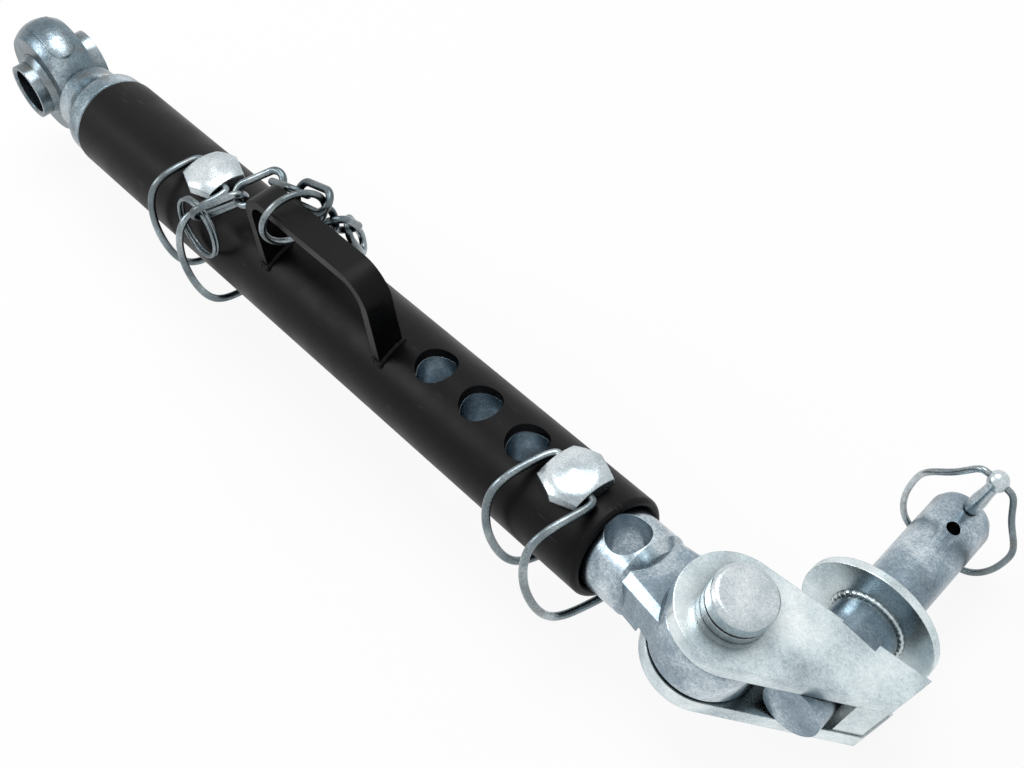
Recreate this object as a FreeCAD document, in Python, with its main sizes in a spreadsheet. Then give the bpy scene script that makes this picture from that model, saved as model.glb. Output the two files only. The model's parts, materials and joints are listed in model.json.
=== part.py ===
import FreeCAD, Part
import math
import os
import re
import Sketcher
from FreeCAD import Placement, Rotation, Vector

# Pin-locked telescopic link with a ball eye at one end and a clevis with a stud at the other.
# Origin: centre of the swivel ball.  +X runs along the tube towards the clevis, +Z up the locking
# pins, +Y along the bore of the ball.  All lengths in millimetres, all angles in degrees.

SIZES = {
    # Swivel ball and forged eye.
    "ball_radius": 22.0,
    "ball_bore": 25.5,
    "ball_length": 43.0,
    "ball_collar_radius": 15.8,
    "ball_clearance": 0.05,
    "bore_chamfer": 1.0,
    "eye_mid_radius": 33.0,
    "eye_edge_radius": 28.5,
    "eye_half_width": 12.0,
    "eye_neck_radius": 18.5,
    "eye_neck_end": 34.5,
    "eye_collar_start": 52.0,
    "eye_collar_end": 63.3,
    "eye_collar_bevel": 1.5,
    "eye_shank_end": 204.0,
    "pad_half_width": 7.0,
    "pad_height": 1.0,
    "pad_rear": 9.0,
    "pad_reach": 16.0,
    "pad_border": 1.8,
    # Outer tube.
    "tube_start": 64.0,
    "tube_length": 400.5,
    "tube_diameter": 50.0,
    "tube_bore": 41.0,
    "tube_hole": 20.0,
    "mouth_round": 2.5,
    "mouth_bevel": 1.6,
    "rear_pin_station": 169.7,
    "mouth_margin": 23.0,
    "hole_pitch": 31.1,
    "adjusting_holes": 4,
    # Sliding bar and its cranked eye.
    "bar_diameter": 40.0,
    "bar_hole": 19.8,
    "bar_holes": 6,
    "bar_holes_behind_pin": 4,
    "bar_rear_margin": 20.0,
    "bar_rear_chamfer": 2.0,
    "bar_shoulder_gap": 22.5,
    "bar_shoulder_drop": 5.0,
    "bar_shoulder_length": 4.0,
    "bar_neck_width": 33.0,
    "bar_neck_bevel": 4.0,
    "crank_reach": 34.5,
    "crank_pitch": 20.0,
    "crank_twist": -10.0,
    "bar_eye_radius": 25.0,
    "bar_eye_thickness": 26.0,
    "bar_eye_round": 3.0,
    # Locking pins.
    "lock_pin_diameter": 19.0,
    "lock_pin_tip": 32.6,
    "lock_pin_bevel": 3.0,
    "head_seat": 0.3,
    "head_width": 24.8,
    "head_flat": 20.6,
    "head_length": 29.2,
    "head_height": 6.6,
    "head_crown_radius": 11.0,
    "head_crown_height": 1.6,
    # Wire bails hinged in the pin heads.
    "bail_wire": 3.8,
    "bail_play": 0.05,
    "bail_half_width": 17.0,
    "bail_hinge_rise": 3.2,
    "bail_hook": 3.0,
    "bail_tip_gap": 1.6,
    "rear_bail_reach": 30.5,
    "rear_bail_turn": -8.0,
    "front_bail_reach": 34.2,
    "front_bail_turn": -13.0,
    # Clevis plates and pivot pin.
    "plate_thickness": 9.0,
    "plate_side_gap": 0.5,
    "neck_relief": 3.0,
    "plate_end_radius": 25.0,
    "plate_top_slope": 19.0,
    "plate_bottom_slope": 45.0,
    "plate_reach": 66.0,
    "pivot_diameter": 25.4,
    "pivot_play": 0.05,
    "pivot_head_diameter": 28.6,
    "pivot_head_height": 10.0,
    "pivot_head_round": 3.0,
    "pivot_seat_height": 4.2,
    "pivot_groove_depth": 1.2,
    "pivot_groove_width": 1.6,
    "pivot_tail": 13.0,
    "washer_diameter": 40.0,
    "washer_thickness": 3.0,
    "face_gap": 0.2,
    "cotter_diameter": 5.0,
    "cotter_length": 37.0,
    "cotter_play": 0.1,
    # Implement stud welded between the plates.
    "stud_foot": 39.2,
    "stud_offset": 17.4,
    "stud_slope": 99.8,
    "stud_diameter": 28.4,
    "stud_root_diameter": 26.6,
    "stud_root_length": 13.0,
    "stud_shank_diameter": 31.5,
    "stud_shank_start": 19.5,
    "stud_shoulder": 41.2,
    "stud_end": 119.0,
    "stud_tip_length": 5.0,
    "stud_tip_drop": 3.5,
    "stud_hole": 6.5,
    "linch_hole_station": 112.0,
    "spare_hole_station": 97.6,
    "flange_diameter": 62.8,
    "flange_thickness": 4.0,
    "web_length": 9.0,
    "web_inset": 1.0,
    # Linch pin and its spring ring.
    "linch_diameter": 6.0,
    "linch_collar_diameter": 7.4,
    "linch_tail": 5.0,
    "linch_rise": 24.0,
    "knob_diameter": 9.6,
    "linch_wire": 3.0,
    "linch_play": 0.05,
    "linch_half_width": 24.0,
    # Carrying handle.
    "handle_rear": 232.0,
    "handle_length": 94.0,
    "handle_height": 43.0,
    "handle_width": 14.0,
    "handle_thickness": 5.0,
    "handle_offset": -8.5,
    "handle_bend": 16.0,
    "handle_seat": 0.1,
    # Retaining chain and its rings.
    "ring_wire": 2.0,
    "ring_coil_pitch": 1.8,
    "small_ring_radius": 15.3,
    "large_ring_radius": 15.4,
    "large_ring_wire": 3.4,
    "chain_wire": 3.8,
    "chain_length": 30.5,
    "chain_play": 0.2,
    "chain_width": 15.0,
}

# Stations along the tube that several pieces share: its mouth, the hole that the bar is locked in,
# the first adjusting hole, and the shoulder where the bar's neck begins.
TUBE_MOUTH = "(tube_start + tube_length)"
LOCK_STATION = f"({TUBE_MOUTH} - mouth_margin)"
FIRST_ADJUSTING_HOLE = f"({LOCK_STATION} - (adjusting_holes - 1) * hole_pitch)"
BAR_SHOULDER = f"({TUBE_MOUTH} + bar_shoulder_gap)"
TUBE_WALL = "((tube_diameter - tube_bore) / 2)"

document = FreeCAD.newDocument("telescopic_link")
sheet = document.addObject("Spreadsheet::Sheet", "Sizes")
for row, (alias, number) in enumerate(SIZES.items(), start=1):
    sheet.set(f"A{row}", alias)
    sheet.set(f"B{row}", str(number))
    sheet.setAlias(f"B{row}", alias)
document.recompute()

X_AXIS = Vector(1, 0, 0)
Y_AXIS = Vector(0, 1, 0)
Z_AXIS = Vector(0, 0, 1)


def bound(formula):
    """Write a formula of sheet aliases the way another object of the document has to quote it."""
    return re.sub(r"[a-z][a-z_]+", lambda word: quoted(word.group(0)), str(formula))


def quoted(word):
    return f"Sizes.{word}" if word in SIZES else word


def size(formula):
    """Number that a formula of sheet aliases stands for."""
    return float(sheet.evalExpression(str(formula)))


def new_body(label):
    body = document.addObject("PartDesign::Body", label)
    body.Label = label
    return body


def new_sketch(body, plane, lift="0"):
    """Sketch on one of the body's own origin planes, lifted along the plane's normal."""
    support = [item for item in body.Origin.OriginFeatures if item.Role == plane]
    sketch = body.newObject("Sketcher::SketchObject", f"{body.Name}_sketch")
    sketch.AttachmentSupport = [(support[0], "")]
    sketch.MapMode = "FlatFace"
    sketch.setExpression(".AttachmentOffset.Base.z", bound(lift))
    return sketch


def pin_point(sketch, curve, end, corner):
    """Hold one end of a curve at the place its two formulas give."""
    for kind, formula in zip(("DistanceX", "DistanceY"), corner):
        index = sketch.addConstraint(Sketcher.Constraint(kind, -1, 1, curve, end, size(formula)))
        sketch.setExpression(f"Constraints[{index}]", bound(formula))


def add_circle(sketch, radius, corner=("0", "0")):
    centre = Vector(size(corner[0]), size(corner[1]), 0)
    curve = sketch.addGeometry(Part.Circle(centre, Z_AXIS, size(radius)), False)
    pin_point(sketch, curve, 3, corner)
    index = sketch.addConstraint(Sketcher.Constraint("Radius", curve, size(radius)))
    sketch.setExpression(f"Constraints[{index}]", bound(radius))


def add_outline(sketch, corners):
    """Closed outline of lines and arcs.

    A corner is (x, y) or (x, y, radius): with a radius, an arc leads on to the next corner, and it
    turns to the left where the radius is positive and to the right where it is negative.
    """
    places = [Vector(size(corner[0]), size(corner[1]), 0) for corner in corners]
    ends = []
    for index, corner in enumerate(corners):
        start, stop = places[index], places[(index + 1) % len(corners)]
        if len(corner) == 2:
            curve = sketch.addGeometry(Part.LineSegment(start, stop), False)
            ends.append((curve, 1, 2))
            continue
        radius = size(corner[2])
        chord = stop - start
        side = Vector(-chord.y, chord.x, 0).normalize()
        depth = math.sqrt(radius**2 - (chord.Length / 2) ** 2)
        centre = (start + stop) / 2 + side * math.copysign(depth, radius)
        circle = Part.Circle(centre, Z_AXIS, abs(radius))
        first, last = (start, stop) if radius > 0 else (stop, start)
        arc = Part.ArcOfCircle(circle, angle_of(first - centre), angle_of(last - centre))
        curve = sketch.addGeometry(arc, False)
        ends.append((curve, 1, 2) if radius > 0 else (curve, 2, 1))
        index = sketch.addConstraint(Sketcher.Constraint("Radius", curve, abs(radius)))
        sketch.setExpression(f"Constraints[{index}]", bound(f"abs({corner[2]})"))
    for index, corner in enumerate(corners):
        curve, start, _ = ends[index]
        before, _, stop = ends[index - 1]
        pin_point(sketch, curve, start, corner[:2])
        sketch.addConstraint(Sketcher.Constraint("Coincident", before, stop, curve, start))


def angle_of(arm):
    return math.atan2(arm.y, arm.x)


def add_feature(body, kind, sketch, **formulas):
    feature = body.newObject(f"PartDesign::{kind}", f"{body.Name}_{kind.lower()}")
    feature.Profile = sketch
    for name, formula in formulas.items():
        feature.setExpression(name, bound(formula))
    return feature


def add_pad(body, sketch, length, symmetric=False):
    pad = add_feature(body, "Pad", sketch, Length=length)
    pad.SideType = "Symmetric" if symmetric else "One side"
    document.recompute()


def volume_of(body):
    return 0 if body.Shape.isNull() else body.Shape.Volume


def add_pocket(body, sketch, symmetric=True, length=None, reverse=False):
    """Cut right through both ways, or to a length, and make sure that something was cut."""
    before = volume_of(body)
    pocket = add_feature(body, "Pocket", sketch)
    pocket.SideType = "Symmetric" if symmetric else "One side"
    pocket.Reversed = reverse
    if length:
        pocket.setExpression("Length", bound(length))
    else:
        pocket.Type = "ThroughAll"
    document.recompute()
    if not volume_of(body) < before:
        raise ValueError(f"{pocket.Name} cuts nothing")
    return pocket


def add_turned(body, sketch, axis="H_Axis", cut=False):
    """Revolve a profile about an axis of its own sketch, as material or as a groove."""
    before = volume_of(body)
    turned = add_feature(body, "Groove" if cut else "Revolution", sketch)
    turned.ReferenceAxis = (sketch, [axis])
    turned.Angle = 360
    document.recompute()
    if cut and not volume_of(body) < before:
        raise ValueError(f"{turned.Name} cuts nothing")


def repeat_along(body, feature, sketch, count, pitch):
    """Repeat a feature along the sketch's horizontal axis, one pitch apart."""
    pattern = body.newObject("PartDesign::LinearPattern", f"{body.Name}_pattern")
    pattern.Originals = [feature]
    pattern.Direction = (sketch, ["H_Axis"])
    pattern.setExpression("Length", bound(f"({count} - 1) * {pitch}"))
    pattern.setExpression("Occurrences", bound(count))
    body.Tip = pattern
    document.recompute()
    return pattern


def round_edges(body, base, kind, radius, wanted):
    """Fillet or chamfer the edges of a feature for which wanted(edge) is true."""
    names = [f"Edge{number}" for number, edge in enumerate(base.Shape.Edges, 1) if wanted(edge)]
    feature = body.newObject(f"PartDesign::{kind}", f"{body.Name}_{kind.lower()}")
    feature.Base = (base, names)
    feature.setExpression("Radius" if kind == "Fillet" else "Size", bound(radius))
    document.recompute()
    return feature


def is_circle(edge, radius, axis_value=None, axis="x"):
    """True for a full circle of this radius, at this place along an axis where one is given."""
    if not isinstance(edge.Curve, Part.Circle) or abs(edge.Curve.Radius - radius) > 1e-4:
        return False
    return axis_value is None or abs(getattr(edge.Curve.Center, axis) - axis_value) < 1e-4


# --- Swivel ball: sphere with a cylindrical collar each side, bored through -----------------------


def make_swivel_ball():
    body = new_body("swivel_ball")
    profile = new_sketch(body, "XY_Plane")
    shoulder = "sqrt(ball_radius^2 - ball_collar_radius^2)"
    bore = "ball_bore / 2"
    rim = "ball_bore / 2 + bore_chamfer"
    end = "ball_length / 2"
    corners = [
        (bore, f"-{end} + bore_chamfer"),
        (rim, f"-{end}"),
        ("ball_collar_radius", f"-{end}"),
        ("ball_collar_radius", f"-{shoulder}", "ball_radius"),
        ("ball_collar_radius", shoulder),
        ("ball_collar_radius", end),
        (rim, end),
        (bore, f"{end} - bore_chamfer"),
    ]
    add_outline(profile, corners)
    add_turned(body, profile, "V_Axis")


# --- Forged eye: crowned ring, neck, collar and the shank that is pinned in the tube --------------


def make_eye_forging():
    body = new_body("eye_forging")
    rise = "eye_mid_radius - eye_edge_radius"
    crown = f"(eye_half_width^2 + ({rise})^2) / (2 * ({rise}))"

    # Raised identification pad over the top of the ring, round at the end towards the tube.
    pad = new_sketch(body, "XY_Plane")
    corners = [
        ("-pad_rear", "-pad_half_width"),
        ("pad_reach", "-pad_half_width", "pad_half_width * 1.0001"),
        ("pad_reach", "pad_half_width"),
        ("-pad_rear", "pad_half_width"),
    ]
    add_outline(pad, corners)
    add_pad(body, pad, "eye_mid_radius + 2 * pad_height")
    trim = new_sketch(body, "XY_Plane")
    outside = "eye_mid_radius * 1.6"
    add_outline(
        trim,
        [
            ("eye_edge_radius + pad_height", "-eye_half_width", crown),
            ("eye_edge_radius + pad_height", "eye_half_width"),
            (outside, "eye_half_width"),
            (outside, "-eye_half_width"),
        ],
    )
    add_turned(body, trim, "V_Axis", cut=True)

    ring = new_sketch(body, "XY_Plane")
    add_outline(
        ring,
        [
            ("eye_edge_radius", "-eye_half_width", crown),
            ("eye_edge_radius", "eye_half_width"),
            ("eye_edge_radius - 12", "eye_half_width"),
            ("eye_edge_radius - 12", "-eye_half_width"),
        ],
    )
    add_turned(body, ring, "V_Axis")

    seat = new_sketch(body, "XY_Plane")
    seat_radius = "ball_radius + ball_clearance"
    mouth = f"sqrt(({seat_radius})^2 - eye_half_width^2)"
    add_outline(
        seat,
        [
            ("0", "-eye_half_width - 1"),
            (mouth, "-eye_half_width - 1"),
            (mouth, "-eye_half_width", seat_radius),
            (mouth, "eye_half_width"),
            (mouth, "eye_half_width + 1"),
            ("0", "eye_half_width + 1"),
        ],
    )
    add_turned(body, seat, "V_Axis", cut=True)

    # Neck swelling to the collar, then the round shank inside the tube.
    neck = new_sketch(body, "XY_Plane")
    collar = "tube_diameter / 2 - 0.5"
    shank = "bar_diameter / 2"
    corners = [
        ("ball_radius + 1.5", "0"),
        ("ball_radius + 1.5", "eye_half_width - 1"),
        ("eye_neck_end - 3", "eye_neck_radius"),
        ("eye_neck_end + 2", "eye_neck_radius", "26"),
        ("eye_collar_start", f"{collar} - 0.6"),
        ("eye_collar_end - eye_collar_bevel", collar),
        ("eye_collar_end", f"{collar} - eye_collar_bevel"),
        ("eye_collar_end", shank),
        ("eye_shank_end - bar_rear_chamfer", shank),
        ("eye_shank_end", f"{shank} - bar_rear_chamfer"),
        ("eye_shank_end", "0"),
    ]
    add_outline(neck, corners)
    add_turned(body, neck)

    hole = new_sketch(body, "XY_Plane")
    add_circle(hole, "bar_hole / 2", ("rear_pin_station", "0"))
    add_pocket(body, hole)


# --- Outer tube with its cross holes ---------------------------------------------------------------


def make_outer_tube():
    body = new_body("outer_tube")
    section = new_sketch(body, "YZ_Plane", "tube_start")
    add_circle(section, "tube_diameter / 2")
    add_circle(section, "tube_bore / 2")
    add_pad(body, section, "tube_length")
    rear_hole = new_sketch(body, "XY_Plane")
    add_circle(rear_hole, "tube_hole / 2", ("rear_pin_station", "0"))
    add_pocket(body, rear_hole)
    first_hole = new_sketch(body, "XY_Plane")
    add_circle(first_hole, "tube_hole / 2", (FIRST_ADJUSTING_HOLE, "0"))
    cut = add_pocket(body, first_hole)
    holes = repeat_along(body, cut, first_hole, "adjusting_holes", "hole_pitch")
    mouth = size(TUBE_MOUTH)
    outer = size("tube_diameter / 2")
    rounding = f"min(mouth_round; 0.56 * {TUBE_WALL})"
    rounded = round_edges(
        body, holes, "Fillet", rounding, lambda edge: is_circle(edge, outer, mouth)
    )
    inner = size("tube_bore / 2")
    bevel = f"min(mouth_bevel; 0.36 * {TUBE_WALL})"
    round_edges(body, rounded, "Chamfer", bevel, lambda edge: is_circle(edge, inner, mouth))


# --- Sliding bar: round shank with six cross holes, cranked flat eye ----------------------------------


def clevis_placement():
    """Frame of the cranked eye: origin at its centre, Z along the pivot pin, X away from the bar."""
    turn = Rotation(X_AXIS, size("crank_twist")) * Rotation(Y_AXIS, size("crank_pitch"))
    return Placement(Vector(size(f"{BAR_SHOULDER} + crank_reach"), 0, 0), turn)


def make_inner_bar():
    body = new_body("inner_bar")
    first_hole = f"{LOCK_STATION} - bar_holes_behind_pin * hole_pitch"
    rear = f"{first_hole} - bar_rear_margin"
    radius = "bar_diameter / 2"
    shank = new_sketch(body, "XY_Plane")
    corners = [
        (rear, "0"),
        (rear, f"{radius} - bar_rear_chamfer"),
        (f"{rear} + bar_rear_chamfer", radius),
        (f"{BAR_SHOULDER} - bar_shoulder_length", radius),
        (BAR_SHOULDER, f"{radius} - bar_shoulder_drop"),
        (BAR_SHOULDER, "0"),
    ]
    add_outline(shank, corners)
    add_turned(body, shank)
    hole = new_sketch(body, "XY_Plane")
    add_circle(hole, "bar_hole / 2", (first_hole, "0"))
    cut = add_pocket(body, hole)
    repeat_along(body, cut, hole, "bar_holes", "hole_pitch")

    # Flat neck: lofted from the shank's end to a section through the middle of the tilted eye.
    eye = clevis_placement()
    start = new_sketch(body, "YZ_Plane")
    half_width = "bar_neck_width / 2"
    half_height = "bar_eye_thickness / 2"
    add_bevelled_section(start, half_width, half_height, "bar_neck_bevel")
    start.MapMode = "Deactivated"
    section_turn = Rotation(Y_AXIS, Z_AXIS, X_AXIS, "ZXY")
    twist = Rotation(X_AXIS, size("crank_twist"))
    neck_start = Vector(size(f"{BAR_SHOULDER} - bar_shoulder_length"), 0, 0)
    start.Placement = Placement(neck_start, twist * section_turn)
    middle = new_sketch(body, "YZ_Plane")
    eye_half = "bar_eye_radius - bar_eye_round"
    add_bevelled_section(middle, eye_half, half_height, "bar_eye_round")
    middle.MapMode = "Deactivated"
    middle.Placement = Placement(eye.Base, eye.Rotation * section_turn)
    loft = body.newObject("PartDesign::AdditiveLoft", "inner_bar_neck")
    loft.Profile = start
    loft.Sections = [middle]
    loft.Ruled = True
    document.recompute()

    # Round eye with rolled edges, then the bore for the pivot pin.
    ring = new_sketch(body, "XZ_Plane")
    rounding = "bar_eye_round"
    outer = "bar_eye_radius"
    corners = [
        ("0", f"-{half_height}"),
        (f"{outer} - {rounding}", f"-{half_height}", f"{rounding} * 1.0001"),
        (outer, f"-{half_height} + {rounding}"),
        (outer, f"{half_height} - {rounding}", f"{rounding} * 1.0001"),
        (f"{outer} - {rounding}", half_height),
        ("0", half_height),
    ]
    add_outline(ring, corners)
    ring.MapMode = "Deactivated"
    ring.Placement = Placement(eye.Base, eye.Rotation * Rotation(X_AXIS, 90))
    add_turned(body, ring, "V_Axis")
    bore = new_sketch(body, "XY_Plane")
    add_circle(bore, "pivot_diameter / 2 + pivot_play")
    bore.MapMode = "Deactivated"
    bore.Placement = eye
    add_pocket(body, bore)

    # Relief under the neck, for the lower plate to swing through.
    relief = new_sketch(body, "XY_Plane")
    add_circle(relief, "plate_end_radius + neck_relief")
    relief.MapMode = "Deactivated"
    relief.Placement = eye * Placement(Vector(0, 0, -size(half_height)), Rotation())
    add_pocket(body, relief, symmetric=False, length="bar_diameter")


def add_bevelled_section(sketch, half_width, half_height, bevel):
    """Rectangle about the sketch's origin with bevelled corners."""
    corners = [
        (f"-({half_width})", f"-({half_height}) + {bevel}"),
        (f"-({half_width}) + {bevel}", f"-({half_height})"),
        (f"{half_width} - {bevel}", f"-({half_height})"),
        (half_width, f"-({half_height}) + {bevel}"),
        (half_width, f"{half_height} - {bevel}"),
        (f"{half_width} - {bevel}", half_height),
        (f"-({half_width}) + {bevel}", half_height),
        (f"-({half_width})", f"{half_height} - {bevel}"),
    ]
    add_outline(sketch, corners)


# --- Locking pins with forged heads, and the wire bails hinged in them --------------------------------


def make_lock_pin(label, station, turn):
    body = new_body(label)
    radius = "lock_pin_diameter / 2"
    seat = "tube_diameter / 2 + head_seat"
    top = f"{seat} + head_height + head_crown_height"
    shank = new_sketch(body, "XZ_Plane")
    corners = [
        ("0", "-lock_pin_tip"),
        (f"{radius} - lock_pin_bevel", "-lock_pin_tip"),
        (radius, "-lock_pin_tip + lock_pin_bevel"),
        (radius, seat),
        ("0", seat),
    ]
    add_outline(shank, corners)
    add_turned(body, shank, "V_Axis")

    # Six-sided head, two of its sides wider: the bail is hinged across those.
    head = new_sketch(body, "XY_Plane", seat)
    side = "head_width / 2"
    corners = [
        (side, "-head_flat / 2"),
        (side, "head_flat / 2"),
        ("0", "head_length / 2"),
        (f"-{side}", "head_flat / 2"),
        (f"-{side}", "-head_flat / 2"),
        ("0", "-head_length / 2"),
    ]
    add_outline(head, corners)
    add_pad(body, head, "head_height + head_crown_height")
    crown = new_sketch(body, "XZ_Plane")
    beyond = "head_length * 0.6"
    corners = [
        ("0", top),
        ("head_crown_radius", f"{seat} + head_height"),
        (beyond, f"{seat} + head_height - ({beyond} - head_crown_radius) * tan(30)"),
        (beyond, f"{top} + 1"),
        ("0", f"{top} + 1"),
    ]
    add_outline(crown, corners)
    add_turned(body, crown, "V_Axis", cut=True)

    hinge = new_sketch(body, "YZ_Plane")
    add_circle(hinge, "bail_wire / 2 + bail_play", ("0", "tube_diameter / 2 + bail_hinge_rise"))
    hinge.MapMode = "Deactivated"
    across = Rotation(Y_AXIS, Z_AXIS, X_AXIS, "ZXY")
    hinge.Placement = Placement(Vector(), Rotation(Z_AXIS, size(turn)) * across)
    add_pocket(body, hinge)
    body.setExpression(".Placement.Base.x", bound(station))


def wire_rod(poles, diameter, closed=False):
    """Round wire along a smooth curve drawn by its poles; an open one starts and ends straight."""
    curve = Part.BSplineCurve()
    if closed:
        curve.buildFromPoles(poles, True, 3)
        path = Part.Wire(curve.toShape())
    else:
        curve.buildFromPoles(poles[1:-1], False, 3)
        first = Part.LineSegment(poles[0], poles[1]).toShape()
        last = Part.LineSegment(poles[-2], poles[-1]).toShape()
        path = Part.Wire([first, curve.toShape(), last])
    edge = path.Edges[0]
    start = edge.valueAt(edge.FirstParameter)
    section = Part.Wire(Part.makeCircle(diameter / 2, start, edge.tangentAt(edge.FirstParameter)))
    rod = path.makePipeShell([section], not closed, False)
    return Part.Solid(Part.Shell(rod.Faces)) if closed else rod


def add_shape(label, shape, placement):
    item = document.addObject("Part::Feature", label)
    item.Label = label
    item.Shape = shape
    item.Placement = placement


def make_bail(label, station, turn, reach):
    """Bail in its hinge's frame: X along the hinge, -Y outwards, Z up."""
    out = size(reach)
    hinge_height = size("tube_diameter / 2 + bail_hinge_rise")
    half = size("bail_half_width")
    bar_height = -size("lock_pin_tip + bail_tip_gap + bail_wire / 2")
    hook = size("bail_hook")
    side = [
        (0.30 * out, hinge_height),
        (0.90 * out, hinge_height - 1.5),
        (1.08 * out, 0.30 * hinge_height),
        (1.06 * out, -0.42 * hinge_height),
        (0.84 * out, bar_height + 1),
        (0.30 * out, bar_height),
    ]
    side_poles = [Vector(half, -away, height) for away, height in side]
    inner = size("head_width / 2")
    mouth = [Vector(inner - 5, 0, hinge_height), Vector(inner + 1.2, 0, hinge_height)]
    arm = mouth + [Vector(half - 0.3, 0, hinge_height)] + side_poles
    arm += [Vector(half, hook - 1.5, bar_height), Vector(half - 4, hook + 0.6, bar_height)]
    other = [Vector(-pole.x, pole.y, pole.z) for pole in reversed(arm)]
    middle = [Vector(half * share, hook, bar_height) for share in (0.4, 0, -0.4)]
    shape = wire_rod(arm + middle + other, size("bail_wire"))
    place = Placement(Vector(size(station), 0, 0), Rotation(Z_AXIS, size(turn)))
    add_shape(label, shape, place)


# --- Carrying handle: flat strap bent to an arch and welded along the top of the tube -----------------


def make_handle():
    body = new_body("carrying_handle")
    arch = new_sketch(body, "XZ_Plane", "-handle_offset")
    top = "tube_diameter / 2 + handle_height"
    front = "handle_rear + handle_length"
    foot = "tube_diameter / 2 - 10"
    thick = "handle_thickness"
    bend = "handle_bend"
    inner = f"{bend} - {thick}"
    corners = [
        ("handle_rear", foot),
        (f"handle_rear + {thick}", foot),
        (f"handle_rear + {thick}", f"{top} - {bend}", f"-({inner})"),
        (f"handle_rear + {bend}", f"{top} - {thick}"),
        (f"{front} - {bend}", f"{top} - {thick}", f"-({inner})"),
        (f"{front} - {thick}", f"{top} - {bend}"),
        (f"{front} - {thick}", foot),
        (front, foot),
        (front, f"{top} - {bend}", bend),
        (f"{front} - {bend}", top),
        (f"handle_rear + {bend}", top, bend),
        ("handle_rear", f"{top} - {bend}"),
    ]
    add_outline(arch, corners)
    add_pad(body, arch, "handle_width", symmetric=True)
    saddle = new_sketch(body, "YZ_Plane")
    add_circle(saddle, "tube_diameter / 2 + handle_seat")
    add_pocket(body, saddle)


# --- Clevis: two plates, a web between them, and the headed pivot pin ---------------------------------


def plate_line(edge, x):
    """Height of the plates' top (+1) or bottom (-1) edge line at a distance from the pivot."""
    slope = "plate_top_slope" if edge > 0 else "plate_bottom_slope"
    return f"({edge} * plate_end_radius / cos({slope}) + ({x}) * tan({slope}))"


def make_clevis_plate(label, middle):
    body = new_body(label)
    outline = new_sketch(body, "XY_Plane", middle)
    radius = "plate_end_radius"
    lower = "plate_bottom_slope"
    upper = "plate_top_slope"
    corners = [
        (f"{radius} * sin({lower})", f"-{radius} * cos({lower})"),
        ("plate_reach", plate_line(-1, "plate_reach")),
        ("plate_reach", plate_line(1, "plate_reach")),
        (f"-{radius} * sin({upper})", f"{radius} * cos({upper})", radius),
        (f"-{radius}", "0", radius),
    ]
    add_outline(outline, corners)
    add_pad(body, outline, "plate_thickness", symmetric=True)
    bore = new_sketch(body, "XY_Plane")
    add_circle(bore, "pivot_diameter / 2 + pivot_play")
    add_pocket(body, bore)
    notch = new_sketch(body, "XY_Plane")
    inside = "bar_eye_thickness / 2 + plate_side_gap"
    half = f"sqrt((stud_shank_diameter / 2)^2 - ({inside})^2) + face_gap"
    start = "stud_shank_start - face_gap"
    end = "stud_shank_start + 20"
    add_outline(notch, [(start, f"-({half})"), (end, f"-({half})"), (end, half), (start, half)])
    notch.MapMode = "Deactivated"
    notch.Placement = stud_frame()
    add_pocket(body, notch)
    body.Placement = clevis_placement()


def stud_frame():
    """Stud's frame seen from the clevis: X along the stud, Z along the pivot pin."""
    foot = Vector(size("stud_foot"), size("stud_offset"), 0)
    return Placement(foot, Rotation(Z_AXIS, size("stud_slope")))


def make_clevis_web():
    body = new_body("clevis_web")
    outline = new_sketch(body, "XY_Plane")
    far = "(plate_reach - web_inset)"
    near = f"({far} - web_length)"
    corners = [
        (near, f"{plate_line(-1, near)} + web_inset"),
        (far, f"{plate_line(-1, far)} + web_inset"),
        (far, f"{plate_line(1, far)} - web_inset"),
        (near, f"{plate_line(1, near)} - web_inset"),
    ]
    add_outline(outline, corners)
    add_pad(body, outline, "bar_eye_thickness + 2 * plate_side_gap - 2 * face_gap", symmetric=True)
    body.Placement = clevis_placement()


def plate_face():
    """Height of the clevis plates' outer faces above the middle of the clevis."""
    return "(bar_eye_thickness / 2 + plate_side_gap + plate_thickness)"


def make_clevis_pin():
    body = new_body("clevis_pin")
    profile = new_sketch(body, "XZ_Plane")
    radius = "pivot_diameter / 2"
    head = "pivot_head_diameter / 2"
    seat = f"{plate_face()} + face_gap"
    groove = f"{seat} + pivot_seat_height"
    crown = f"{groove} + pivot_groove_width"
    top = f"{seat} + pivot_seat_height + pivot_head_height"
    tail = f"-{plate_face()} - pivot_tail"
    corners = [
        ("0", tail),
        (f"{radius} - bar_rear_chamfer", tail),
        (radius, f"{tail} + bar_rear_chamfer"),
        (radius, seat),
        (head, seat),
        (head, groove),
        (f"{head} - pivot_groove_depth", groove),
        (f"{head} - pivot_groove_depth", crown),
        (head, crown),
        (head, f"{top} - pivot_head_round", "pivot_head_round * 1.0001"),
        (f"{head} - pivot_head_round", top),
        ("0", top),
    ]
    add_outline(profile, corners)
    add_turned(body, profile, "V_Axis")
    hole = new_sketch(body, "YZ_Plane")
    add_circle(hole, "cotter_diameter / 2 + cotter_play", ("0", cotter_height()))
    add_pocket(body, hole)
    body.Placement = clevis_placement()


def cotter_height():
    return f"(-{plate_face()} - 2 * face_gap - washer_thickness - cotter_diameter / 2 - cotter_play)"


def make_pin_washer():
    body = new_body("clevis_pin_washer")
    ring = new_sketch(body, "XY_Plane", f"-{plate_face()} - face_gap - washer_thickness")
    add_circle(ring, "washer_diameter / 2")
    add_circle(ring, "pivot_diameter / 2 + 0.3")
    add_pad(body, ring, "washer_thickness")
    body.Placement = clevis_placement()


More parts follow.
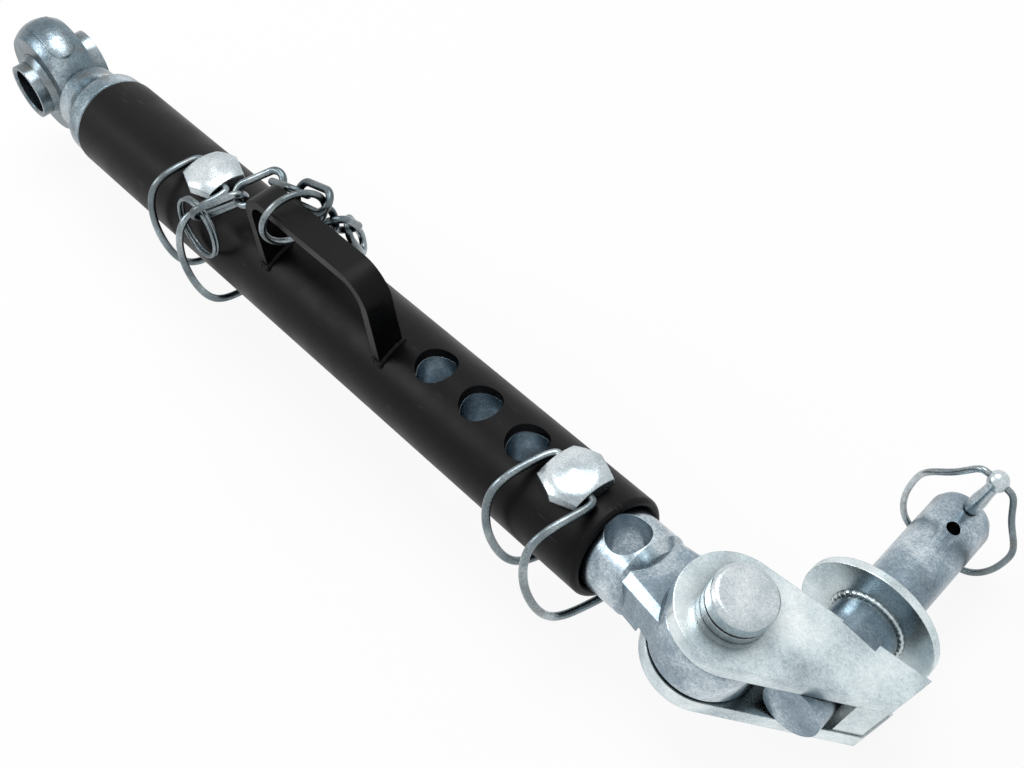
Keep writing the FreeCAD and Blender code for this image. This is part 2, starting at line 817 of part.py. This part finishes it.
def make_cotter():
    """Slit spring pin across the tail of the pivot pin."""
    body = new_body("clevis_pin_cotter")
    section = new_sketch(body, "YZ_Plane")
    add_circle(section, "cotter_diameter / 2", ("0", cotter_height()))
    add_circle(section, "cotter_diameter / 4", ("0", cotter_height()))
    add_pad(body, section, "cotter_length", symmetric=True)
    slit = new_sketch(body, "XZ_Plane")
    half = "cotter_length / 2 + 1"
    low = f"{cotter_height()} - cotter_diameter / 12"
    high = f"{cotter_height()} + cotter_diameter / 12"
    add_outline(slit, [(f"-({half})", low), (half, low), (half, high), (f"-({half})", high)])
    add_pocket(body, slit, symmetric=False, length="cotter_diameter")
    body.Placement = clevis_placement()


# --- Implement stud with its flange, linch pin and spring ring ----------------------------------------


def make_link_stud():
    body = new_body("link_stud")
    profile = new_sketch(body, "XY_Plane")
    root = "stud_root_diameter / 2"
    shank = "stud_shank_diameter / 2"
    radius = "stud_diameter / 2"
    corners = [
        ("-stud_root_length", "0"),
        ("-stud_root_length", root),
        ("stud_shank_start", root),
        ("stud_shank_start", shank),
        ("stud_shoulder", shank),
        ("stud_shoulder", radius),
        ("stud_end - stud_tip_length", radius),
        ("stud_end - stud_tip_length * 0.35", f"{radius} - stud_tip_drop * 0.4"),
        ("stud_end", f"{radius} - stud_tip_length"),
        ("stud_end", "0"),
    ]
    add_outline(profile, corners)
    add_turned(body, profile)
    for station in ("linch_hole_station", "spare_hole_station"):
        hole = new_sketch(body, "XY_Plane")
        add_circle(hole, "stud_hole / 2", (station, "0"))
        add_pocket(body, hole)
    body.Placement = clevis_placement() * stud_frame()


def make_stud_flange():
    body = new_body("stud_flange")
    disc = new_sketch(body, "YZ_Plane", "stud_shoulder + face_gap / 2")
    add_circle(disc, "flange_diameter / 2")
    add_circle(disc, "stud_diameter / 2 + face_gap / 2")
    add_pad(body, disc, "flange_thickness")
    body.Placement = clevis_placement() * stud_frame()


def knob_height():
    return "(stud_diameter / 2 + linch_rise)"


def make_linch_pin():
    body = new_body("linch_pin")
    profile = new_sketch(body, "XZ_Plane")
    radius = "linch_diameter / 2"
    collar = "linch_collar_diameter / 2"
    knob = "knob_diameter / 2"
    surface = "stud_diameter / 2"
    neck = f"{knob_height()} - sqrt(({knob})^2 - ({radius})^2)"
    corners = [
        ("0", f"-{surface} - linch_tail"),
        (f"{radius} - 1", f"-{surface} - linch_tail"),
        (radius, f"-{surface} - linch_tail + 1.5"),
        (radius, f"{surface} + 0.4"),
        (collar, f"{surface} + 0.8"),
        (collar, f"{surface} + linch_rise * 0.3"),
        (radius, f"{surface} + linch_rise * 0.62"),
        (radius, neck, knob),
        (knob, knob_height(), knob),
        ("0", f"{knob_height()} + {knob}"),
    ]
    add_outline(profile, corners)
    add_turned(body, profile, "V_Axis")
    hole = new_sketch(body, "XZ_Plane")
    add_circle(hole, "linch_wire / 2 + linch_play", ("0", knob_height()))
    add_pocket(body, hole)
    linch_place = Placement(Vector(size("linch_hole_station"), 0, 0), Rotation())
    body.Placement = clevis_placement() * stud_frame() * linch_place


def make_linch_ring():
    """D-shaped spring ring through the knob and round the stud to the pin's other end."""
    top = size(knob_height())
    wide = size("linch_half_width")
    radius = size("stud_diameter / 2")
    bottom = -size("stud_diameter / 2 + linch_tail + linch_wire / 2 + face_gap") - 2.5
    side = [
        (0.12 * wide, top),
        (0.26 * wide, top),
        (0.40 * wide, 0.97 * top),
        (0.62 * wide, 0.62 * top),
        (1.04 * wide, 0.90 * radius),
        (1.06 * wide, 0.20 * radius),
        (1.02 * wide, -0.60 * radius),
        (0.84 * wide, 0.80 * bottom),
        (0.56 * wide, bottom),
        (0.20 * wide, bottom),
    ]
    right = [Vector(0, across, height) for across, height in side]
    left = [Vector(0, -across, height) for across, height in reversed(side)]
    shape = wire_rod(right + left, size("linch_wire"), closed=True)
    linch_place = Placement(Vector(size("linch_hole_station"), 0, 0), Rotation())
    add_shape("linch_ring", shape, clevis_placement() * stud_frame() * linch_place)


# --- Retaining chain from the rear bail to the handle, with its two rings -----------------------------


def add_primitive(kind, name, **formulas):
    item = document.addObject(f"Part::{kind}", name)
    for key, formula in formulas.items():
        item.setExpression(key, bound(formula))
    return item


def make_tether_ring(label, radius, wire, coils, place):
    """Split ring: turns of wire side by side, each a torus that bites a little into the next."""
    turns = []
    for coil in range(coils):
        turn = add_primitive("Torus", f"{label}_turn", Radius1=radius, Radius2=f"{wire} / 2")
        turns.append(turn)
        if coils > 1:
            lift = bound(f"({coil} - {coils - 1} / 2) * ring_coil_pitch")
            turn.setExpression(".Placement.Base.z", lift)
    ring = turns[0]
    if coils > 1:
        ring = document.addObject("Part::MultiFuse", label)
        ring.Shapes = turns
    ring.Label = label
    ring.Placement = place


def make_chain_link(label, place):
    """Oblong link: two half rings joined by two straight runs, long along X, flat in XY."""
    bend = "(chain_width - chain_wire) / 2"
    straight = "(chain_length - chain_width)"
    pieces = []
    for sign in (1, -1):
        half = add_primitive(
            "Torus", f"{label}_bend", Radius1=bend, Radius2="chain_wire / 2", Angle3="180"
        )
        half.setExpression(".Placement.Base.x", bound(f"{sign} * {straight} / 2"))
        half.Placement = Placement(half.Placement.Base, Rotation(Z_AXIS, -90 * sign))
        run = add_primitive("Cylinder", f"{label}_run", Radius="chain_wire / 2", Height=straight)
        run.Placement = Placement(Vector(), Rotation(Y_AXIS, 90))
        run.setExpression(".Placement.Base.x", bound(f"-{straight} / 2"))
        run.setExpression(".Placement.Base.y", bound(f"{sign} * {bend}"))
        pieces += [half, run]
    link = document.addObject("Part::MultiFuse", label)
    link.Label = label
    link.Shapes = pieces
    link.Placement = place


make_swivel_ball()
make_eye_forging()
make_outer_tube()
make_inner_bar()
make_lock_pin("lock_pin_1", "rear_pin_station", "rear_bail_turn")
make_lock_pin("lock_pin_2", LOCK_STATION, "front_bail_turn")
make_bail("bail_1", "rear_pin_station", "rear_bail_turn", "rear_bail_reach")
make_bail("bail_2", LOCK_STATION, "front_bail_turn", "front_bail_reach")
make_handle()
inside_half = "(bar_eye_thickness / 2 + plate_side_gap + plate_thickness / 2)"
make_clevis_plate("clevis_plate_upper", inside_half)
make_clevis_plate("clevis_plate_lower", f"-{inside_half}")
make_clevis_web()
make_clevis_pin()
make_pin_washer()
make_cotter()
make_link_stud()
make_stud_flange()
make_linch_pin()
make_linch_ring()

# Where the slack chain lies: each run starts at a joint with its first link facing one way, and
# has one direction per link.
RINGS = {
    "tether_ring_1": (Vector(191.4, -24.8, 23.4), Vector(0, -1, 0.11)),
    "tether_ring_2": (Vector(258.6, -5.3, 59.6), Vector(0.95, -0.23, -0.19)),
}
CHAIN_RUNS = [
    (
        Vector(197.2, -25.2, 36.2),
        Vector(-0.82, 0.36, 0.45),
        [Vector(11.1, 19.2, 4.7), Vector(13.5, 16.2, 8.4), Vector(20.7, -1, 9.2), Vector(21.7, 0.5, 6.6)],
    ),
    (
        Vector(259.2, 2.1, 48.1),
        Vector(0.71, 0.65, 0.27),
        [Vector(-10.2, 16.2, -12.1), Vector(-8.4, 10.9, -18), Vector(-5, 7.3, -20.9)],
    ),
]


def make_chain():
    """Every link faces a quarter turn from the last, and swings about the end of whichever link
    lies flat in the bend."""
    pitch = size("chain_length - 2 * chain_wire - chain_play")
    swing = size("chain_width / 2 - chain_wire - chain_play / 2")
    number = 0
    for joint, facing, directions in CHAIN_RUNS:
        before = None
        for direction in directions:
            number += 1
            along = Vector(direction).normalize()
            if before:
                bend = along - before
                joint = joint + (bend - facing * (2 * bend.dot(facing))) * swing
                facing = along.cross(facing)
            facing = (facing - along * facing.dot(along)).normalize()
            place = Placement(joint + along * (pitch / 2), Rotation(along, Vector(), facing, "XZY"))
            make_chain_link(f"chain_link_{number}", place)
            joint = joint + along * pitch
            before = along


for ring, radius, wire, coils in (
    ("tether_ring_1", "small_ring_radius", "ring_wire", 2),
    ("tether_ring_2", "large_ring_radius", "large_ring_wire", 1),
):
    centre, normal = RINGS[ring]
    make_tether_ring(ring, radius, wire, coils, Placement(centre, Rotation(Z_AXIS, normal)))
make_chain()

# --- Check and export ----------------------------------------------------------------------------------

document.recompute()
for item in document.Objects:
    if {"Invalid", "Error"} & set(item.State):
        raise ValueError(f"{item.Name} failed: {item.State}")
os.makedirs("parts", exist_ok=True)
helpers = {part for item in document.Objects for part in item.OutList}
for item in document.Objects:
    if not hasattr(item, "Shape") or item in helpers or item.getParentGroup():
        continue
    shape = item.Shape
    if item.isDerivedFrom("Sketcher::SketchObject") or item.isDerivedFrom("App::OriginFeature"):
        continue
    if shape.isNull() or not shape.isValid():
        raise ValueError(f"{item.Label} has no valid shape")
    shape.exportStep(f"parts/{item.Label}.step")
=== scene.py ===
import json
import math

import bmesh
import bpy
from mathutils import Matrix, Vector

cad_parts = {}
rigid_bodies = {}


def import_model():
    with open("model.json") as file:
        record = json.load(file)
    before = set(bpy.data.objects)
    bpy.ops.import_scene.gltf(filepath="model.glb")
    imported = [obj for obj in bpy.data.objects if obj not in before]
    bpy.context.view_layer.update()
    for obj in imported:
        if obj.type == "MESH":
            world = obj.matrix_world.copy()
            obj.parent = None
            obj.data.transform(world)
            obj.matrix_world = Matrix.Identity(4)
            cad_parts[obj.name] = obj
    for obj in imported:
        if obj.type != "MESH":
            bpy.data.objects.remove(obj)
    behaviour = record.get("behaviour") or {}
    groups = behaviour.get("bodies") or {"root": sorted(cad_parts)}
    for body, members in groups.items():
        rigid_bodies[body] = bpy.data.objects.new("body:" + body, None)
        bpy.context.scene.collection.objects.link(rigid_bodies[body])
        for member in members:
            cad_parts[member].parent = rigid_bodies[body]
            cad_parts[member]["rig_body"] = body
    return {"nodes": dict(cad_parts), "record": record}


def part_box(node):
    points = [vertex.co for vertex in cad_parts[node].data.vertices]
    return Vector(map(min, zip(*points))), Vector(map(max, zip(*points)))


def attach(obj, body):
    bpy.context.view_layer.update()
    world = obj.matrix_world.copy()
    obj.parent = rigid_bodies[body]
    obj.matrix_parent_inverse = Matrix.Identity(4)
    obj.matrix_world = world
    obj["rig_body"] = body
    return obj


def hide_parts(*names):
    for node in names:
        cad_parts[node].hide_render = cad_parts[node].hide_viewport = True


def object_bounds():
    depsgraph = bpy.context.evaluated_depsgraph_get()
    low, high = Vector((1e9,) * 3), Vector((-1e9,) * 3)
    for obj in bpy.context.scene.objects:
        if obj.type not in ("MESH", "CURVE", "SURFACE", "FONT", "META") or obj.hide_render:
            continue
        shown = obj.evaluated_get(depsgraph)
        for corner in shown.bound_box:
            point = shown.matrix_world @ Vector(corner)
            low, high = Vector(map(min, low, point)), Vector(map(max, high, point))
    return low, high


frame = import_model()
CAD_BOX = [list(corner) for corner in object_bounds()]
RECORD = frame["record"]
NODES = frame["nodes"]
MM = 0.001
MERGE_DISTANCE = 0.002 * MM
SHARP_ANGLE = math.radians(28)
# Dark blue-grey painted into the hollows of the zinc parts as painted shade.
HOLLOW_SHADE_COLOUR = "#2B3437"
BROWN_STAIN = "#6F6252"
FLOOR_SIZE = 6.0
FLOOR_GLOW = 0.9
ROOM_LIGHT = 0.45


# --- Small helpers ------------------------------------------------------------------------------------


def linear(hex_colour):
    """sRGB hex to linear RGBA."""
    channels = [int(hex_colour[i:i + 2], 16) / 255 for i in (1, 3, 5)]
    return [c / 12.92 if c <= 0.04045 else ((c + 0.055) / 1.055) ** 2.4 for c in channels] + [1.0]


def add(tree, kind, settings=None, **links):
    """One node, with its settings, and its inputs set to a value or linked to a socket."""
    node = tree.nodes.new(kind)
    for key, value in (settings or {}).items():
        setattr(node, key, value)
    for key, value in links.items():
        name = key.replace("_", " ")
        socket = node.inputs[int(name[1:])] if name[1:].isdigit() else node.inputs[name]
        if isinstance(value, bpy.types.NodeSocket):
            tree.links.new(value, socket)
        else:
            socket.default_value = value
    return node


def ramp(tree, fac, stops):
    """Colour ramp from (position, hex) stops."""
    node = add(tree, "ShaderNodeValToRGB", Fac=fac)
    elements = node.color_ramp.elements
    while len(elements) < len(stops):
        elements.new(0.5)
    for element, (position, colour) in zip(elements, stops):
        element.position = position
        element.color = linear(colour)
    return node.outputs["Color"]


def new_material(name):
    material = bpy.data.materials.new(name)
    material.use_nodes = True
    tree = material.node_tree
    tree.nodes.clear()
    return material, tree


def noise(tree, size_mm, detail=3.0, roughness=0.55, stretch=(1, 1, 1)):
    """Noise whose blobs are about size_mm across."""
    place = add(tree, "ShaderNodeTexCoord").outputs["Object"]
    scaled = add(tree, "ShaderNodeMapping", Vector=place, Scale=stretch).outputs["Vector"]
    return add(
        tree, "ShaderNodeTexNoise", Vector=scaled, Scale=1 / (size_mm * MM), Detail=detail,
        Roughness=roughness,
    ).outputs["Fac"]


def spread(tree, value, low, high, to_low, to_high):
    """Map a value from low..high to to_low..to_high, clamped."""
    return add(
        tree, "ShaderNodeMapRange", None, Value=value, From_Min=low, From_Max=high, To_Min=to_low,
        To_Max=to_high,
    ).outputs["Result"]


def blend_value(tree, operation, first, second):
    return add(tree, "ShaderNodeMath", {"operation": operation}, _0=first, _1=second).outputs[0]


def finish_shader(tree, colour, metallic, roughness, height, depth_mm, edge_mm, specular=0.5):
    """Shader whose sharp edges catch light as if broken by edge_mm, with a bump of depth_mm."""
    edge = add(tree, "ShaderNodeBevel", {"samples": 6}, Radius=edge_mm * MM).outputs["Normal"]
    bump = add(
        tree, "ShaderNodeBump", Strength=1.0, Distance=depth_mm * MM, Height=height, Normal=edge,
    )
    shader = add(
        tree, "ShaderNodeBsdfPrincipled", Base_Color=colour, Metallic=metallic, Roughness=roughness,
        Normal=bump.outputs["Normal"], Specular_IOR_Level=specular,
    )
    add(tree, "ShaderNodeOutputMaterial", Surface=shader.outputs["BSDF"])


# --- Materials ----------------------------------------------------------------------------------------


def zinc(
    name, pale, mid, dark, rough, grain_mm, grain_depth_mm, stain=0.0, edge_mm=0.5,
):
    """Electroplated zinc on steel: blue-grey metal, faintly mottled, brighter where it is rubbed, with
    painted shade in its hollows.
    """
    material, tree = new_material(name)
    grain = noise(tree, grain_mm, 4.0, 0.65)
    parts = [(noise(tree, 26.0, 3.0), 0.62), (grain, 0.23), (noise(tree, 0.5 * grain_mm, 2.0), 0.15)]
    mixed = 0.0
    for pattern, share in parts:
        mixed = blend_value(tree, "ADD", mixed, blend_value(tree, "MULTIPLY", pattern, share))
    colour = ramp(tree, mixed, [(0.30, dark), (0.50, mid), (0.68, pale)])
    if stain:
        # Thin brown passivation stain in patches.
        patches = spread(tree, noise(tree, 11.0, 3.0), 0.52, 0.68, 0.0, stain)
        colour = add(
            tree, "ShaderNodeMix", {"data_type": "RGBA"}, Factor=patches, _6=colour,
            _7=linear(BROWN_STAIN),
        ).outputs[2]
    # Painted shade: the colour is darkened towards a dark grey in the hollows, where one face shelters
    # another.
    hollow_shade_mask = add(tree, "ShaderNodeAmbientOcclusion", {"samples": 8}, Distance=12 * MM).outputs["AO"]
    colour = add(
        tree, "ShaderNodeMix", {"data_type": "RGBA"}, Factor=spread(tree, hollow_shade_mask, 0.25, 0.95, 0.85, 0.0),
        _6=colour, _7=linear(HOLLOW_SHADE_COLOUR),
    ).outputs[2]
    roughness = spread(tree, mixed, 0.38, 0.62, rough + 0.05, rough - 0.05)
    finish_shader(tree, colour, 1.0, roughness, grain, grain_depth_mm, edge_mm)
    return material


def black_enamel(name):
    """Black stoving enamel on tube: satin, with orange peel, faint dust and a few scuffs."""
    material, tree = new_material(name)
    dust = noise(tree, 24.0, 4.0)
    scratches = noise(tree, 1.2, 2.0, 0.5, stretch=(0.10, 1, 1))
    scuffs = blend_value(
        tree, "MULTIPLY", spread(tree, scratches, 0.64, 0.72, 0.0, 1.0),
        spread(tree, noise(tree, 18.0, 2.0), 0.52, 0.62, 0.0, 1.0),
    )
    base = ramp(tree, dust, [(0.35, "#030304"), (0.60, "#060607"), (0.75, "#0B0B0C")])
    colour = add(
        tree, "ShaderNodeMix", {"data_type": "RGBA"}, Factor=scuffs, _6=base, _7=linear("#2A2A2B"),
    ).outputs[2]
    roughness = spread(tree, dust, 0.35, 0.70, 0.36, 0.50)
    peel = noise(tree, 1.6, 2.0)
    finish_shader(tree, colour, 0.0, roughness, peel, 0.03, 0.5, specular=0.13)
    return material


MATERIALS = {
    "black_paint": black_enamel("black_enamel_stoved"),
    "zinc_forging": zinc(
        "zinc_plated_drop_forging", "#C3D0D7", "#73848E", "#3F4B52", 0.27, 1.5, 0.10, 0.40, 1.0),
    "zinc_bar": zinc("zinc_plated_turned_bar", "#DDE7EC", "#8D9EAA", "#586772", 0.24, 1.8, 0.03, 0.1),
    "zinc_pin": zinc("zinc_plated_bright_pin", "#F0F4F6", "#B9C4C9", "#7D898F", 0.24, 1.4, 0.07, 0.0, 0.9),
    "zinc_plate": zinc(
        "zinc_plated_flame_cut_plate", "#F4FAFB", "#CFDCE0", "#8E9EA6", 0.26, 1.8, 0.03, 0.1, 0.7),
    "turned_ball": zinc("zinc_plated_turned_ball", "#AFBBC1", "#6C7B83", "#3A464C", 0.26, 1.2, 0.02, 0.5),
    "spring_wire": zinc("zinc_plated_spring_wire", "#C8D1D5", "#7C888D", "#40494E", 0.26, 0.9, 0.02, 0.3),
    "chain_steel": zinc("zinc_plated_welded_chain", "#B4BEC3", "#616D72", "#2D3639", 0.28, 0.8, 0.03, 0.2),
}


# --- Dressed copies of the CAD nodes: shaded smooth between their sharp edges ------------------


def dress(node, slot):
    """Welded copy of a node, smooth but for its sharp edges."""
    source = NODES[node]
    mesh = bpy.data.meshes.new(f"{node}_dressed")
    work = bmesh.new()
    work.from_mesh(source.data)
    bmesh.ops.remove_doubles(work, verts=work.verts, dist=MERGE_DISTANCE)
    bmesh.ops.dissolve_degenerate(work, edges=work.edges, dist=1e-6)
    for face in work.faces:
        face.smooth = True
    for edge in work.edges:
        edge.smooth = len(edge.link_faces) == 2 and edge.calc_face_angle(0) < SHARP_ANGLE
    work.to_mesh(mesh)
    work.free()
    piece = bpy.data.objects.new(f"{node}_dressed", mesh)
    bpy.context.scene.collection.objects.link(piece)
    piece.data.materials.append(MATERIALS[slot])
    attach(piece, source["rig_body"])
    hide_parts(node)
    return piece


for part in RECORD["subparts"]:
    dress(part["node"], part["material_slot"])


# --- Weld beads -------------------------------------------------------------------------------------------

STRAP_THICKNESS = 5 * MM
HANDLE_BEAD = 1.7 * MM
STUD_BEAD = 1.5 * MM
FLANGE_THICKNESS = 4 * MM
STUD_SHANK_RADIUS = 15.75 * MM
FLOOR_CLEARANCE = MM


def weld_bead(name, path, bead, rides_with, slot):
    """Overlapping ripples of weld metal laid along a path, uneven as hand welding is."""
    mesh = bpy.data.meshes.new(name)
    work = bmesh.new()
    for index, point in enumerate(path):
        swell = 1 + 0.12 * math.sin(2.3 * index)
        bmesh.ops.create_icosphere(
            work, subdivisions=2, radius=bead * swell, matrix=Matrix.Translation(point),
        )
    for face in work.faces:
        face.smooth = True
    work.to_mesh(mesh)
    work.free()
    piece = bpy.data.objects.new(name, mesh)
    bpy.context.scene.collection.objects.link(piece)
    mesh.materials.append(MATERIALS[slot])
    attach(piece, NODES[rides_with]["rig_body"])


def round_a_foot(start, stop, left, right, radius, step):
    """Path round a strap's foot on the tube, one step apart."""
    corners = [(start, left), (stop, left), (stop, right), (start, right)]
    path = []
    for (x, y), (next_x, next_y) in zip(corners, corners[1:] + corners[:1]):
        count = max(1, round(math.hypot(next_x - x, next_y - y) / step))
        for share in (number / count for number in range(count)):
            across = y + (next_y - y) * share
            place = x + (next_x - x) * share
            path.append(Vector((place, across, math.sqrt(radius**2 - across**2))))
    return path


handle_low, handle_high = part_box("carrying_handle")
tube_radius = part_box("outer_tube")[1].z
for name, start, stop in (
    ("handle_weld_rear", handle_low.x, handle_low.x + STRAP_THICKNESS),
    ("handle_weld_front", handle_high.x - STRAP_THICKNESS, handle_high.x),
):
    foot = round_a_foot(start, stop, handle_low.y, handle_high.y, tube_radius, 0.75 * HANDLE_BEAD)
    weld_bead(name, foot, HANDLE_BEAD, "carrying_handle", "black_paint")

mounts = {mount["name"]: mount for mount in RECORD["mounts"]}
stud = mounts["implement_stud"]
stud_axis = Vector(stud["axis"])
behind = stud["dims"]["length_mm"] * MM / 2 + FLANGE_THICKNESS
ring_centre = Vector(stud["pos_m"]) - stud_axis * behind
spoke = stud_axis.orthogonal().normalized() * (STUD_SHANK_RADIUS + 0.3 * STUD_BEAD)
ripples = round(2 * math.pi * spoke.length / (0.75 * STUD_BEAD))
ring = [
    ring_centre + Matrix.Rotation(2 * math.pi * number / ripples, 3, stud_axis) @ spoke
    for number in range(ripples)
]
weld_bead("stud_flange_weld", ring, STUD_BEAD, "stud_flange", "zinc_plate")


# --- Floor, lamps and camera --------------------------------------------------------------------------

LOWEST = CAD_BOX[0][2]
floor_mesh = bpy.data.meshes.new("floor")
floor_work = bmesh.new()
bmesh.ops.create_grid(
    floor_work, x_segments=1, y_segments=1, size=FLOOR_SIZE,
    matrix=Matrix.Translation((0.3, 0, LOWEST - FLOOR_CLEARANCE)),
)
floor_work.to_mesh(floor_mesh)
floor_work.free()
floor = bpy.data.objects.new("floor", floor_mesh)
bpy.context.scene.collection.objects.link(floor)
floor_material, tree = new_material("pale_paper_floor")
rays = add(tree, "ShaderNodeLightPath").outputs
seen = blend_value(tree, "MAXIMUM", rays["Is Camera Ray"], rays["Is Glossy Ray"])
paper = add(tree, "ShaderNodeBsdfDiffuse", Color=linear("#F4F4F4"))
glow = add(tree, "ShaderNodeEmission", Color=(1, 1, 1, 1), Strength=1.0)
mixed = add(
    tree, "ShaderNodeMixShader", _0=blend_value(tree, "MULTIPLY", seen, FLOOR_GLOW),
    _1=paper.outputs[0], _2=glow.outputs[0],
)
add(tree, "ShaderNodeOutputMaterial", Surface=mixed.outputs[0])
floor.data.materials.append(floor_material)

world = bpy.data.worlds.new("pale_studio")
bpy.context.scene.world = world
world.use_nodes = True
tree = world.node_tree
tree.nodes.clear()
rays = add(tree, "ShaderNodeLightPath").outputs
seen = blend_value(tree, "MAXIMUM", rays["Is Camera Ray"], rays["Is Glossy Ray"])
strength = spread(tree, seen, 0.0, 1.0, ROOM_LIGHT, 1.0)
sky = add(tree, "ShaderNodeBackground", Color=(1, 1, 1, 1), Strength=strength)
add(tree, "ShaderNodeOutputWorld", Surface=sky.outputs[0])


def lamp(name, place, target, size, power):
    light = bpy.data.lights.new(name, "AREA")
    light.size = size
    light.energy = power
    holder = bpy.data.objects.new(name, light)
    bpy.context.scene.collection.objects.link(holder)
    holder.location = place
    holder.rotation_euler = (Vector(target) - Vector(place)).to_track_quat("-Z", "Y").to_euler()


MIDDLE = (0.3, 0.03, 0.0)
lamp("overhead_softbox", (0.1, 0.3, 1.6), MIDDLE, 1.0, 14)
lamp("left_softbox", (-0.6, -0.9, 1.0), MIDDLE, 0.7, 7)

AZIMUTH, ELEVATION, ROLL = (math.radians(angle) for angle in (57.2, 48.35, -9.96))
LOOK_AT = Vector((0.3628, 0.0281, 0.0))
DISTANCE = 0.786
right = Vector((math.cos(AZIMUTH), math.sin(AZIMUTH), 0))
back = Vector((
    math.sin(AZIMUTH) * math.cos(ELEVATION), -math.cos(AZIMUTH) * math.cos(ELEVATION),
    math.sin(ELEVATION),
))
up = back.cross(right)
rolled_right = right * math.cos(ROLL) + up * math.sin(ROLL)
rolled_up = up * math.cos(ROLL) - right * math.sin(ROLL)
camera = bpy.data.objects.new("camera", bpy.data.cameras.new("camera"))
bpy.context.scene.collection.objects.link(camera)
turn = Matrix((rolled_right, rolled_up, back)).transposed()
camera.matrix_world = Matrix.Translation(LOOK_AT + back * DISTANCE) @ turn.to_4x4()
camera.data.sensor_width = 36
camera.data.lens = 60.95
camera.data.clip_start = 0.01
bpy.context.scene.camera = camera

bpy.context.scene.view_settings.view_transform = "Standard"

bpy.context.view_layer.update()
